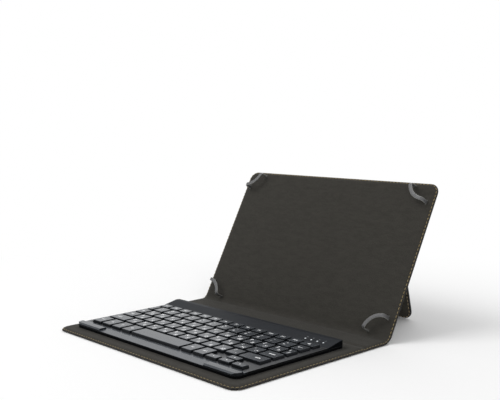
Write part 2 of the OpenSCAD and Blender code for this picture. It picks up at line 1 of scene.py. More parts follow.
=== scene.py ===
"""Looks for the folding tablet case with its keyboard.

Lengths are written in millimetres, as in the solids, and turned to metres when a piece is made.
"""

import json
import math

import bmesh
import bpy
import numpy as np
from mathutils import Matrix, Vector


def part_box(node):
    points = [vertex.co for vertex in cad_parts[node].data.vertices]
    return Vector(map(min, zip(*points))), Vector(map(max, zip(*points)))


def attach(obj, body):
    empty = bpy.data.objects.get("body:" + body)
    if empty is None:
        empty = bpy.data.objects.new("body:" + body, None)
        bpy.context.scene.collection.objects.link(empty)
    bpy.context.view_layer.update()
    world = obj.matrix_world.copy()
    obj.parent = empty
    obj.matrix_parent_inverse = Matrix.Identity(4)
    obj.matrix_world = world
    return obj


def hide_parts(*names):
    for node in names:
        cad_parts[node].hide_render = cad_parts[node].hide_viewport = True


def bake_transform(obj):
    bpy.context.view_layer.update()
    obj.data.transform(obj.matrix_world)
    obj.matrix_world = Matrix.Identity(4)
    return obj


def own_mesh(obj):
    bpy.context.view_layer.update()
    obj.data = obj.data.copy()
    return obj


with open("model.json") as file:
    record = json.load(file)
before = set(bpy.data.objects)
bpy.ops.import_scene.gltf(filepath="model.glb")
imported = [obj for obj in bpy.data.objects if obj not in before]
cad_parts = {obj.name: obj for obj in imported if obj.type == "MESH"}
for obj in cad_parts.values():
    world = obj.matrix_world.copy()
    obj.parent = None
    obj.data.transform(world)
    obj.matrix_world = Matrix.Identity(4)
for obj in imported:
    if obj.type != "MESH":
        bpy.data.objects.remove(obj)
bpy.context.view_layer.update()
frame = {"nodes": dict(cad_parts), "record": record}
cad = frame["nodes"]
scene = bpy.context.scene
MM = 0.001
SQUARE = ((-1, -1), (1, -1), (1, 1), (-1, 1))

# Covers and spine
COVER_HALF, COVER_D, CORNER_R = 130.0, 163.0, 10.0
THICK, NOSE, SPINE_W = 3.4, 0.9, 34.0
TILT = math.radians(61)
FRONT_Y = -COVER_D / 2
FOLD_ONE = COVER_D / 2
FOLD_TWO = FOLD_ONE + SPINE_W
SPINE_MID = 0.5 * (FOLD_ONE + FOLD_TWO)

# Bay inside the bands: width, height, depth, and height of its foot on the cover
TABLET_W, TABLET_H, TABLET_T, TABLET_FOOT = 243.0, 150.0, 7.5, 7.5

# Kickstand: height and depth of its hinge on the cover, half width and corner radius
STAND_V, STAND_N, STAND_HALF, STAND_R = 128.0, -1.1, 90.0, 9.0
STAND_LEAN = math.radians(76)
STAND_OPEN = math.pi - STAND_LEAN - TILT

# Strap: height and depth of its fold on the cover, half width and thickness, and its span and tongue
STRAP_V, STRAP_N, STRAP_HALF, STRAP_T = 163.3, -4.8, 13.0, 2.4
STRAP_SPAN, STRAP_TIP, STRAP_R = 40.9, 34.0, 10.0

# Keyboard
KB_Y, KB_W, KB_D = -0.1, 233.4, 136.2
HUMP_D, HUMP_FLAT, HUMP_RISE = 24.0, 17.0, 3.5
HUMP_Y = KB_Y + KB_D / 2 - HUMP_D
DECK_Z, KEY_TOP = 7.4, 9.9
LIGHT_END, LIGHT_PITCH, LIGHT_SHARE = 11.5, 7.2, 0.42

# Small lifts that keep sewn leather, slits and prints off their faces
SEWN_LIFT, SLIT_LIFT, LEGEND_LIFT, SIGN_LIFT = 0.03, 0.02, 0.012, 0.02


def tablet_point(x, v, n):
    """A point of the tablet cover: v runs up from its fold and n from its leather to its lining."""
    c, s = math.cos(TILT), math.sin(TILT)
    return Vector((x, FOLD_TWO + v * c - (n - NOSE) * s, NOSE + v * s + (n - NOSE) * c))


def metres(point):
    return tuple(MM * c for c in point)


def ease(k):
    """A smooth step from 0 to 1."""
    k = min(1.0, max(0.0, k))
    return k * k * (3 - 2 * k)


def put_object(name, data):
    thing = bpy.data.objects.new(name, data)
    scene.collection.objects.link(thing)
    return thing


# Materials


class Shader:
    """A node material with one Principled shader."""

    def __init__(self, name):
        self.mat = bpy.data.materials.new(name)
        self.mat.use_nodes = True
        self.tree = self.mat.node_tree
        self.bsdf = self.tree.nodes["Principled BSDF"]

    def feed(self, socket, value):
        """Links a socket to an output, or sets its own value."""
        if hasattr(value, "is_linked"):
            self.tree.links.new(value, socket)
        else:
            socket.default_value = value

    def add(self, kind, values=None, **settings):
        node = self.tree.nodes.new("ShaderNode" + kind)
        for key, value in settings.items():
            setattr(node, key, value)
        for key, value in (values or {}).items():
            self.feed(node.inputs[key], value)
        return node

    def set(self, **values):
        for key, value in values.items():
            self.feed(self.bsdf.inputs[key.replace("_", " ")], value)

    def rest(self):
        """Places on the unrolled piece, so that grain stays put when the piece bends."""
        return self.add("Attribute", attribute_name="rest").outputs["Vector"]

    def place(self):
        return self.add("TexCoord").outputs["Object"]

    def stretched(self, at, scale):
        return self.add("Mapping", {"Vector": at, "Scale": scale}).outputs[0]

    def noise(self, at, scale, detail=3.0, rough=0.55, distort=0.0):
        values = {"Vector": at, "Scale": scale, "Detail": detail, "Roughness": rough, "Distortion": distort}
        return self.add("TexNoise", values).outputs["Fac"]

    def cells(self, at, scale):
        """Distance to the nearest border of irregular cells."""
        values = {"Vector": at, "Scale": scale, "Randomness": 1.0}
        return self.add("TexVoronoi", values, feature="DISTANCE_TO_EDGE").outputs["Distance"]

    def waves(self, at, scale, distort, direction, detail=2.0):
        values = {"Vector": at, "Scale": scale, "Distortion": distort, "Detail": detail}
        return self.add("TexWave", values, bands_direction=direction).outputs["Fac"]

    def ramp(self, value, low, high, to_low=0.0, to_high=1.0):
        values = {"Value": value, "From Min": low, "From Max": high, "To Min": to_low, "To Max": to_high}
        return self.add("MapRange", values, interpolation_type="SMOOTHSTEP").outputs["Result"]

    def blend(self, fac, one, two):
        """A colour between two others."""
        node = self.add("Mix", {"Factor": fac}, data_type="RGBA")
        for socket, colour in ((node.inputs[6], one), (node.inputs[7], two)):
            self.feed(socket, colour if hasattr(colour, "is_linked") else (*colour, 1.0))
        return node.outputs[2]

    def math(self, what, a, b):
        return self.add("Math", {0: a, 1: b}, operation=what).outputs[0]

    def bump(self, height, strength, depth, normal=None):
        values = {"Height": height, "Strength": strength, "Distance": depth * MM}
        if normal is not None:
            values["Normal"] = normal
        return self.add("Bump", values).outputs["Normal"]


def shade(colour, factor):
    """The same colour, darker or lighter."""
    return [min(1.0, c * factor) for c in colour]


def leather(name, colour):
    """Pebbled leather: rounded grains with fine creases between them, and a soft gloss on the grain. The
    creases are painted darker, as painted shade.
    """
    m = Shader(name)
    at = m.rest()
    warp = m.add("TexNoise", {"Vector": at, "Scale": 260.0, "Detail": 2.0}).outputs["Color"]
    shift = m.add("VectorMath", {0: warp, 1: (0.0022, 0.0022, 0.0)}, operation="MULTIPLY").outputs[0]
    warped = m.add("VectorMath", {0: at, 1: shift}, operation="ADD").outputs[0]
    drawn = m.stretched(warped, (0.6, 1.3, 1.0))
    dome = m.ramp(m.cells(drawn, 560.0), 0.0, 0.36)
    pit = m.ramp(m.cells(drawn, 1250.0), 0.0, 0.22)
    height = m.math("ADD", m.math("MULTIPLY", dome, 0.65), m.math("MULTIPLY", pit, 0.35))
    cloud = m.noise(at, 45.0, 4.0)
    # Painted shade: the creases between the grains are painted darker than the tops of the grains.
    base = m.blend(m.ramp(height, 0.1, 0.8), shade(colour, 0.6), colour)
    uneven = m.ramp(cloud, 0.3, 0.7, -0.03, 0.05)
    m.set(
        Base_Color=m.blend(m.ramp(cloud, 0.35, 0.7, 0.0, 0.5), base, shade(colour, 1.35)),
        Roughness=m.math("ADD", m.ramp(height, 0.0, 1.0, 0.58, 0.30), uneven),
        Specular_IOR_Level=m.ramp(height, 0.1, 0.9, 0.12, 0.32),
        Normal=m.bump(height, 0.85, 0.5),
    )
    return m.mat


def microfibre(name, colour):
    """Brushed lining cloth: a short nap with cloudy strokes and a dusty sheen."""
    m = Shader(name)
    at = m.rest()
    stroke = m.noise(m.stretched(at, (1.0, 2.6, 1.0)), 90.0, 6.0, 0.7, 0.4)
    nap = m.noise(at, 2600.0, 2.0, 0.7)
    speck = m.noise(at, 900.0, 3.0, 0.7)
    tone = m.blend(m.ramp(stroke, 0.3, 0.7), shade(colour, 0.84), shade(colour, 1.14))
    m.set(
        Base_Color=m.blend(m.ramp(speck, 0.35, 0.75, 0.0, 0.55), tone, shade(colour, 1.6)),
        Roughness=m.ramp(nap, 0.3, 0.7, 0.82, 0.98),
        Normal=m.bump(m.math("ADD", nap, m.math("MULTIPLY", speck, 0.6)), 0.5, 0.12),
        Specular_IOR_Level=0.12,
        Sheen_Weight=0.06,
        Sheen_Roughness=0.45,
    )
    return m.mat


def thread(name, colour):
    """Twisted sewing thread, painted darker in the grooves of its twist and lighter on its plies, as
    painted shade and highlight.
    """
    m = Shader(name)
    at = m.rest()
    ply = m.waves(at, 520.0, 0.6, "DIAGONAL", 1.0)
    fuzz = m.noise(at, 2400.0, 2.0)
    # Painted shade and highlight: dark in the grooves of the twist and light on the plies, varied at random
    # by the fuzz.
    painted_twist_shade = m.math("MULTIPLY", ply, m.ramp(fuzz, 0.2, 0.7, 0.6, 1.0))
    m.set(
        Base_Color=m.blend(painted_twist_shade, shade(colour, 0.55), shade(colour, 1.25)),
        Roughness=m.ramp(fuzz, 0.2, 0.8, 0.55, 0.8),
        Normal=m.bump(ply, 0.6, 0.15),
        Sheen_Weight=0.2,
    )
    return m.mat


def moulded(name, colour, rough, grain=0.05, edge=0.3, gloss=0.5):
    """Moulded plastic: lighter, smoother edges, fine spark grain, faint handling marks, and sides painted
    darker as shade, with less gloss.
    """
    m = Shader(name)
    at = m.place()
    rounded = m.add("Bevel", {"Radius": edge * MM}, samples=4).outputs["Normal"]
    flat = m.add("NewGeometry").outputs["True Normal"]
    along = m.add("VectorMath", {0: rounded, 1: flat}, operation="DOT_PRODUCT").outputs["Value"]
    rim = m.ramp(along, 0.72, 0.995, 1.0, 0.0)
    spark = m.noise(at, 7000.0, 2.0, 0.6)
    smear = m.noise(at, 38.0, 4.0, 0.6, 1.2)
    facing = m.add("SeparateXYZ", {"Vector": m.add("TexCoord").outputs["Normal"]}).outputs["Z"]
    tone = m.blend(m.ramp(smear, 0.3, 0.7), shade(colour, 0.85), shade(colour, 1.15))
    # Painted shade: faces that do not point up are painted five times darker, as if in shade.
    tone = m.blend(m.ramp(facing, 0.5, 0.9), shade(colour, 0.2), tone)
    satin = m.ramp(smear, 0.3, 0.7, rough - 0.015, rough + 0.025)
    m.set(
        Base_Color=m.blend(rim, tone, shade(colour, 1.6)),
        Roughness=m.math("ADD", satin, m.math("MULTIPLY", rim, -0.06)),
        Specular_IOR_Level=m.ramp(facing, 0.5, 0.9, 0.15 * gloss, gloss),
        Specular_Tint=(0.86, 0.93, 1.0, 1.0),
        Normal=m.bump(spark, grain, 0.01, rounded),
    )
    return m.mat


def ribbed_elastic(name, colour):
    """Covered elastic with fine ribs along it and a cross weave, painted darker in the grooves and lighter
    on the ribs, and with pale edges painted on as a highlight.
    """
    m = Shader(name)
    at = m.rest()
    rib = m.waves(at, 300.0, 0.2, "Y")
    weave = m.waves(at, 420.0, 0.4, "X")
    fuzz = m.noise(at, 3000.0, 2.0)
    height = m.math("ADD", rib, m.math("MULTIPLY", weave, 0.5))
    across = m.add("SeparateXYZ", {"Vector": at}).outputs["Y"]
    # Painted highlight: a pale line painted along both edges of the band.
    painted_edge_highlight = m.ramp(m.math("ABSOLUTE", across, 0.0), 1.25 * MM, 1.65 * MM)
    # Painted shade and highlight: darker in the grooves of the weave and lighter on the ribs.
    rib_shade_and_highlight = m.blend(m.ramp(height, 0.2, 1.3), shade(colour, 0.6), shade(colour, 1.5))
    m.set(
        Base_Color=m.blend(painted_edge_highlight, rib_shade_and_highlight, (0.17, 0.17, 0.16)),
        Roughness=m.ramp(fuzz, 0.2, 0.8, 0.32, 0.52),
        Normal=m.bump(height, 0.5, 0.12),
        Sheen_Weight=0.08,
    )
    return m.mat


def paint(name, colour, glow=0.0):
    """Printed legends and glowing light pipes."""
    m = Shader(name)
    grain = m.noise(m.place(), 5200.0, 2.0)
    m.set(
        Base_Color=m.blend(m.ramp(grain, 0.3, 0.7), shade(colour, 0.86), colour),
        Roughness=m.ramp(grain, 0.3, 0.7, 0.42, 0.62),
    )
    if glow:
        m.set(Emission_Color=(*colour, 1.0), Emission_Strength=glow)
    return m.mat


def brushed(name, colour, rough):
    """Sheet metal with a drawn grain."""
    m = Shader(name)
    grain = m.noise(m.stretched(m.place(), (0.12, 1.0, 1.0)), 3800.0, 3.0)
    m.set(
        Base_Color=m.blend(m.ramp(grain, 0.3, 0.7), shade(colour, 0.8), colour),
        Roughness=m.ramp(grain, 0.3, 0.7, rough, rough + 0.15),
        Normal=m.bump(grain, 0.15, 0.02),
        Metallic=1.0,
    )
    return m.mat


def mottled(name, colour, rough, scale=700.0):
    """Pulp board, foam tape, rubber and other plain inner materials."""
    m = Shader(name)
    fibre = m.noise(m.place(), scale, 5.0, 0.7, 0.4)
    m.set(
        Base_Color=m.blend(m.ramp(fibre, 0.3, 0.7), shade(colour, 0.75), shade(colour, 1.2)),
        Roughness=m.ramp(fibre, 0.3, 0.7, rough - 0.08, rough + 0.08),
        Normal=m.bump(fibre, 0.25, 0.06),
    )
    return m.mat


LEATHER = leather("black_pebbled_leather", (0.0085, 0.0085, 0.0098))
CLOTH = microfibre("olive_brown_microfibre", (0.0320, 0.0300, 0.0258))
# Painted light: the lining cloth, a touch more olive, painted about twice as light to make up for the shade
# on the kickstand's inner face.
STAND_CLOTH_PAINTED_LIGHT = microfibre("kickstand_microfibre_painted_light", (0.062, 0.058, 0.047))
THREAD_OUT = thread("cream_tan_thread", (0.50, 0.38, 0.22))
# Painted shade: the inside stitches are the same thread as the outside ones, painted darker and more golden
# as if in shade.
THREAD_IN_PAINTED_SHADE = thread("dull_gold_thread_painted_shade", (0.26, 0.19, 0.075))
THREAD_SLIT = thread("dark_olive_thread", (0.030, 0.028, 0.022))
ELASTIC = ribbed_elastic("grey_elastic", (0.070, 0.070, 0.073))
HOUSING = moulded("satin_black_housing", (0.0105, 0.0110, 0.0125), 0.24, grain=0.06, edge=0.45)
REAR = moulded("matt_black_housing", (0.0115, 0.0130, 0.0160), 0.50, grain=0.10, edge=0.45, gloss=0.08)
RAIL = moulded("satin_black_rail", (0.042, 0.047, 0.055), 0.19, edge=0.45)
DECK = moulded("satin_black_deck", (0.006, 0.006, 0.007), 0.36, grain=0.08, edge=0.15)
CAP = moulded("charcoal_keycap", (0.042, 0.047, 0.055), 0.21, edge=0.22)
PRINT = paint("white_legend", (0.88, 0.89, 0.90))
PRINT_DARK = paint("grey_light_icon", (0.16, 0.17, 0.18))
LIGHT = paint("white_light_pipe", (0.74, 0.78, 0.82), 0.12)
RUBBER = mottled("dome_rubber", (0.55, 0.55, 0.53), 0.55, 1200.0)
SWITCH = moulded("switch_slider", (0.05, 0.05, 0.055), 0.4, edge=0.12)

BY_SLOT = {
    "cover_leather": LEATHER,
    "stand_leather": LEATHER,
    "strap_leather": LEATHER,
    "lining_cloth": CLOTH,
    "stand_cloth": STAND_CLOTH_PAINTED_LIGHT,
    "stiffener": mottled("grey_pulp_board", (0.30, 0.28, 0.25), 0.85),
    "magnet": brushed("plated_magnet", (0.62, 0.62, 0.64), 0.25),
    "elastic": ELASTIC,
    "adhesive_pad": mottled("foam_tape", (0.05, 0.05, 0.05), 0.9, 1500.0),
    "housing_plastic": HOUSING,
    "deck_plastic": DECK,
    "keycap_plastic": CAP,
    "key_steel": brushed("sheet_steel", (0.45, 0.45, 0.46), 0.35),
    "dome_rubber": RUBBER,
    "circuit": mottled("solder_mask", (0.015, 0.09, 0.035), 0.35, 400.0),
    "battery_wrap": brushed("foil_pouch", (0.55, 0.55, 0.57), 0.3),
    "light_pipe": LIGHT,
    "socket_metal": brushed("plated_socket", (0.60, 0.60, 0.62), 0.22),
    "switch_plastic": SWITCH,
}
BY_NODE = {"rear_housing": REAR, "front_rail": RAIL}
for part in frame["record"]["subparts"]:
    slots = cad[part["node"]].data.materials
    slots.clear()
    slots.append(BY_NODE.get(part["node"]) or BY_SLOT[part["material_slot"]])


# Meshes


def make_piece(name, points, faces, materials, kinds=None, rest=None, sharp=38.0):
    """A mesh object from points in millimetres, with its unrolled places kept for the grain."""
    mesh = bpy.data.meshes.new(name)
    mesh.from_pydata([metres(p) for p in points], [], faces)
    for mat in materials:
        mesh.materials.append(mat)
    if kinds is not None:
        mesh.polygons.foreach_set("material_index", kinds)
    places = np.array(points if rest is None else rest, float) * MM
    attribute = mesh.attributes.new("rest", "FLOAT_VECTOR", "POINT")
    attribute.data.foreach_set("vector", places.astype(np.float32).ravel())
    build = bmesh.new()
    build.from_mesh(mesh)
    bmesh.ops.recalc_face_normals(build, faces=build.faces)
    build.to_mesh(mesh)
    build.free()
    mesh.polygons.foreach_set("use_smooth", [True] * len(mesh.polygons))
    mesh.set_sharp_from_angle(angle=math.radians(sharp))
    return put_object(name, mesh)


def ring_faces(first, rings, sides):
    """Faces between rings of points that follow each other, each with the same number of sides."""
    faces = []
    for i in range(rings - 1):
        low, high = first + i * sides, first + (i + 1) * sides
        for k in range(sides):
            after = (k + 1) % sides
            faces.append((low + k, low + after, high + after, high + k))
    return faces


def fall(depth, reach, drop, pressed=False):
    """How far a rounded or a flat pressed edge lies below its face, at a depth in from the outline."""
    if depth >= reach:
        return 0.0
    k = 1.0 - max(depth, 0.0) / reach
    if pressed:
        return drop * k * k
    return drop * (1.0 - math.sqrt(max(0.0, 1.0 - k * k)))


class Slab:
    """A soft-edged panel on a path: s runs along it, x across it and n from its low face to its top.

    Its far end has round corners, and so has its near end with near_r, or else that end is cut straight.
    The soft edges of its faces, top and low, are given as a reach and a share of the thickness.
    """

    STEPS = (0.0, 0.06, 0.2, 0.4, 0.7, 0.95, 1.2, 1.45, 1.7, 2.1, 2.8, 3.7, 5.0, 7.5)
    CORNER_STEPS = (0.65, 0.8, 1.0, 1.2)
    INNER_COLUMNS = (0.75, 0.5, 0.25)
    SEAM_IN, SEAM_HALF, SEAM_STEP = 1.2, 0.5, 0.4
    LIP = 0.12

    # One stitch: places along its half length and its height there, and the sides of its thread
    STITCH = ((-1.0, -0.5), (-0.72, 0.45), (-0.3, 1.0), (0.3, 1.0), (0.72, 0.45), (1.0, -0.5))
    THREAD_SIDES, THREAD_AHEAD = 6, 0.05

    def __init__(
        self, length, half, path, thick, far_r, near_r=0.0, top=(5.0, 0.66), low=(2.2, 0.16), seam_deep=0.12
    ):
        self.length, self.half, self.path = length, half, path
        self.thick = thick if callable(thick) else lambda s: thick
        self.far_r, self.near_r, self.near_free = far_r, near_r, near_r > 0.0
        self.top, self.low, self.seam_deep = top, low, seam_deep
        self.pressed = not self.near_free

    def corners(self, s):
        """Radius of each end's corners, with the distance from s to that end."""
        return (self.far_r, self.length - s), (self.near_r, s)

    def width(self, s):
        half = self.half
        for r, to_end in self.corners(s):
            if to_end < r:
                half = min(half, self.half - r + math.sqrt(max(0.0, r * r - (r - to_end) ** 2)))
        return half

    def depth(self, x, s):
        """Distance in from the outline."""
        for r, to_end in self.corners(s):
            if to_end < r and abs(x) > self.half - r:
                return r - math.hypot(r - to_end, abs(x) - self.half + r)
        inside = min(self.half - abs(x), self.length - s)
        return min(inside, s) if self.near_free else inside

    def heights(self, x, s):
        """Low face and top, with their soft edges and the groove of the seam."""
        thick, depth = self.thick(s), self.depth(x, s)
        groove = self.seam_deep * math.exp(-(((depth - self.SEAM_IN) / self.SEAM_HALF) ** 2))
        low = fall(depth, self.low[0], self.low[1] * thick) + groove
        return low, thick - fall(depth, self.top[0], self.top[1] * thick, self.pressed) - groove

    def point(self, x, s, n):
        base, up = self.path(s)
        return Vector((x, base[0] + up[0] * n, base[1] + up[1] * n))

    def rows(self, extra):
        """Places of s with a row of points: close together at the ends, and the extra ones."""
        found = {0.0, *extra}
        found |= {self.length - e for e in self.STEPS}
        found |= {self.length - self.far_r * k for k in self.CORNER_STEPS}
        if self.near_free:
            found |= set(self.STEPS)
            found |= {self.near_r * k for k in self.CORNER_STEPS}
        return sorted({round(s, 4) for s in found if 0.0 <= s <= self.length})

    def columns(self, s):
        """Places of x in one row, close together at both sides."""
        w = self.width(s)
        steps = [e for e in self.STEPS if e < 0.45 * self.half]
        outer = [w - e * min(1.0, w / (1.05 * steps[-1])) for e in steps]
        side = outer + [outer[-1] * k for k in self.INNER_COLUMNS]
        return [-x for x in side] + [0.0] + side[::-1]

    def piece(self, name, extra, materials, edge_kind=1, low_lip=0.0):
        """The panel: material 0 is on its top, material 1 on its low face, and edge_kind on its edge."""
        rows = self.rows(extra)
        grid = [[(x, s) for x in self.columns(s)] for s in rows]
        wide, n_rows = len(grid[0]), len(rows)
        points, rest, faces, kinds = [], [], [], []
        for face in (1, 0):
            for row in grid:
                for x, s in row:
                    n = self.heights(x, s)[face]
                    points.append(self.point(x, s, n))
                    rest.append((x, s, n))
        under = n_rows * wide
        for i in range(n_rows - 1):
            for j in range(wide - 1):
                a = i * wide + j
                quad = (a, a + 1, a + 1 + wide, a + wide)
                x, s = grid[i][j]
                x2, s2 = grid[i + 1][j + 1]
                rim = self.depth(0.5 * (x + x2), 0.5 * (s + s2))
                faces.append(quad)
                kinds.append(edge_kind if rim < self.LIP else 0)
                faces.append(tuple(under + k for k in reversed(quad)))
                kinds.append(edge_kind if rim < low_lip else 1)
        loop = list(range(wide))
        loop += [i * wide + wide - 1 for i in range(1, n_rows)]
        loop += [(n_rows - 1) * wide + j for j in range(wide - 2, -1, -1)]
        loop += [i * wide for i in range(n_rows - 2, 0, -1)]
        for a, b in zip(loop, loop[1:] + loop[:1]):
            faces.append((a, under + a, under + b, b))
            kinds.append(edge_kind)
        return make_piece(name, points, faces, materials, kinds, rest)

    def seam_line(self):
        """The seam as (x, s): up the right side, round the far end, down the left and round a free end."""
        half, end = self.half - self.SEAM_IN, self.length - self.SEAM_IN
        far, near = max(self.far_r - self.SEAM_IN, 0.01), max(self.near_r - self.SEAM_IN, 0.01)
        first = self.SEAM_IN + near if self.near_free else 0.0
        turns = [k * math.pi / 48 for k in range(25)]
        line = [(half, first), (half, end - far)]
        line += [(half - far + far * math.cos(a), end - far + far * math.sin(a)) for a in turns]
        line += [(far - half - far * math.sin(a), end - far + far * math.cos(a)) for a in turns]
        line += [(-half, first)]
        if self.near_free:
            line += [(near - half - near * math.cos(a), first - near * math.sin(a)) for a in turns]
            line += [(half - near + near * math.sin(a), first - near * math.cos(a)) for a in turns]
        return [np.array(p) for p in line]

    def stitches(self, name, material, top, pitch=4.0, long=2.9, wide=0.8, high=0.32):
        """Single stitches along the seam, on the top or the low face, each sunk in at both ends."""
        line = self.seam_line()
        dense = [line[0]]
        for p, q in zip(line, line[1:]):
            count = max(1, int(np.linalg.norm(q - p) / self.SEAM_STEP))
            dense += [p + (q - p) * k / count for k in range(1, count + 1)]
        dense = np.array(dense)
        travel = np.concatenate([[0.0], np.cumsum(np.linalg.norm(np.diff(dense, axis=0), axis=1))])
        total = int(travel[-1] / pitch)

        def seam_at(distance):
            return np.array([np.interp(distance, travel, dense[:, c]) for c in (0, 1)])

        points, rest, faces = [], [], []
        for k in range(total):
            middle = (k + 0.5) * travel[-1] / total
            faces += ring_faces(len(points), len(self.STITCH), self.THREAD_SIDES)
            for share, up in self.STITCH:
                distance = middle + share * long / 2
                x, s = seam_at(distance)
                ahead = seam_at(distance + self.THREAD_AHEAD) - (x, s)
                ahead = ahead / max(1e-9, np.linalg.norm(ahead))
                low, high_n = self.heights(x, s)
                for a in range(self.THREAD_SIDES):
                    angle = 2 * math.pi * a / self.THREAD_SIDES
                    side = 0.5 * wide * math.cos(angle) * (0.35 + 0.65 * max(0.0, up))
                    rise = high * (up - 0.15) + 0.5 * high * math.sin(angle)
                    n = high_n + rise if top else low - rise
                    points.append(self.point(x - ahead[1] * side, s + ahead[0] * side, n))
                    rest.append((distance, side, rise))
        return make_piece(name, points, faces, [material], None, rest, 80.0)


def dip(s, middle, reach, deep):
    """A smooth hollow in the thickness, as where a board ends at a fold."""
    k = abs(s - middle) / reach
    return deep * math.cos(0.5 * math.pi * k) ** 2 if k < 1.0 else 0.0


def sweep(name, path, ups, half_w, half_t, material, sides=14):
    """A flat rounded ribbon along a path, with the way up given at each point."""
    flat_w, flat_t = 0.55, 0.75
    points, rest = [], []
    travel = 0.0
    for i, (p, up) in enumerate(zip(path, ups)):
        ahead = (path[min(i + 1, len(path) - 1)] - path[max(i - 1, 0)]).normalized()
        side = ahead.cross(up).normalized()
        out = side.cross(ahead).normalized()
        if i:
            travel += (p - path[i - 1]).length
        for k in range(sides):
            c, s = math.cos(2 * math.pi * k / sides), math.sin(2 * math.pi * k / sides)
            u = math.copysign(abs(c) ** flat_w, c) * half_w
            v = math.copysign(abs(s) ** flat_t, s) * half_t
            points.append(p + side * u + out * v)
            rest.append((travel, u, v))
    faces = ring_faces(0, len(path), sides)
    faces.append(tuple(range(sides)))
    faces.append(tuple(range(len(points) - sides, len(points))))
    return make_piece(name, points, faces, [material], None, rest, 70.0)


# The case: two soft sheets that meet in the middle of the spine, thinner at its two folds and bent round
# the rear one

# The rear fold is an arc of BEND_R, and s starts at the middle of the spine
BEND_R = 15.0
BEND_CUT = BEND_R * math.tan(TILT / 2)
BEND_ARC = BEND_R * TILT
CORNER_V = -NOSE * math.tan(TILT / 2)
BEND_S = FOLD_TWO - CORNER_V - BEND_CUT - SPINE_MID
BEND_MID = BEND_S + BEND_ARC / 2
FOLD_S = SPINE_MID - FOLD_ONE
FOLD_HALF, DIP_HALF, DIP_PAST, DIP_DEEP = 6.0, 5.0, 1.0, 0.9


def back_path(s):
    """From the middle of the spine, round the rear fold and up the tablet cover."""
    if s <= BEND_S:
        return (SPINE_MID + s, 0.0), (0.0, 1.0)
    if s <= BEND_S + BEND_ARC:
        a = (s - BEND_S) / BEND_R
        y = SPINE_MID + BEND_S + BEND_R * math.sin(a)
        return (y, BEND_R - BEND_R * math.cos(a)), (-math.sin(a), math.cos(a))
    p = tablet_point(0, CORNER_V + BEND_CUT + s - BEND_S - BEND_ARC, 0)
    return (p.y, p.z), (-math.sin(TILT), math.cos(TILT))


def front_path(s):
    """From the middle of the spine to the front edge of the keyboard cover."""
    return (SPINE_MID - s, 0.0), (0.0, 1.0)


def front_thick(s):
    return THICK - dip(s, FOLD_S, DIP_HALF, DIP_DEEP)


def back_thick(s):
    return THICK - dip(s, BEND_MID, BEND_ARC / 2 + DIP_PAST, DIP_DEEP)


back_length = BEND_S + BEND_ARC + COVER_D - CORNER_V - BEND_CUT
front = Slab(SPINE_MID - FRONT_Y, COVER_HALF, front_path, front_thick, CORNER_R)
back = Slab(back_length, COVER_HALF, back_path, back_thick, CORNER_R)
front_rows = [FOLD_S + 0.7 * k for k in range(-9, 10)] + [30.0 + 12 * k for k in range(12)]
back_rows = [5.0] + [BEND_S - 2.0 + 0.6 * k for k in range(30)] + [35.0 + 12 * k for k in range(11)]

case_front = front.piece("case_front", front_rows, [CLOTH, LEATHER])
case_back = back.piece("case_back", back_rows, [CLOTH, LEATHER])
front_seams = [
    front.stitches("front_seam_inside", THREAD_IN_PAINTED_SHADE, True),
    front.stitches("front_seam_outside", THREAD_OUT, False),
]
back_seams = [
    back.stitches("back_seam_inside", THREAD_IN_PAINTED_SHADE, True),
    back.stitches("back_seam_outside", THREAD_OUT, False),
]
for piece in [case_front, *front_seams]:
    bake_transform(piece)
for piece in [case_back, *back_seams]:
    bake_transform(piece)
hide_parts("keyboard_cover_skin", "keyboard_cover_lining", "spine_lining")
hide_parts("tablet_cover_skin", "tablet_cover_lining", "spine_skin")


# Kickstand: a sewn tab and a flap in one piece of leather, with cloth on the side that faces the cover

TAB_TOP, TAB_LOW = STAND_V + 11.2, STAND_V + 0.7
TAB_T, TAB_R, HINGE_R = 1.1, 3.0, 2.2
FLAP_T, FLAP_RISE_AT, FLAP_RISE_LONG, FLAP_EDGE, FLAP_LIP = 3.4, 1.0, 5.0, (1.4, 0.3), 1.1
STAND_FLAT = TAB_TOP - TAB_LOW
STAND_ARC = HINGE_R * STAND_OPEN
COVER_DOWN = Vector((0, -math.cos(TILT), -math.sin(TILT)))
COVER_OUT = Vector((0, math.sin(TILT), -math.cos(TILT)))
FLAP_DOWN = COVER_DOWN * math.cos(STAND_OPEN) + COVER_OUT * math.sin(STAND_OPEN)
FOOT_RISE = 0.25


def stand_path(s):
    """From the top of the tab down to the hinge, round it and down the flap; up is away from the cover."""
    if s <= STAND_FLAT:
        p = tablet_point(0, TAB_TOP - s, -SEWN_LIFT)
        return (p.y, p.z), (math.sin(TILT), -math.cos(TILT))
    a = min((s - STAND_FLAT) / HINGE_R, STAND_OPEN)
    up = COVER_OUT * math.cos(a) - COVER_DOWN * math.sin(a)
    hub = tablet_point(0, TAB_LOW, -SEWN_LIFT) + COVER_OUT * HINGE_R
    p = hub - up * HINGE_R + FLAP_DOWN * max(0.0, s - STAND_FLAT - STAND_ARC)
    return (p.y, p.z), (up.y, up.z)


def stand_thick(s):
    """Thin at the tab and the hinge, and thick where the board starts."""
    past = s - STAND_FLAT - STAND_ARC - FLAP_RISE_AT
    return TAB_T + (FLAP_T - TAB_T) * ease(past / FLAP_RISE_LONG)


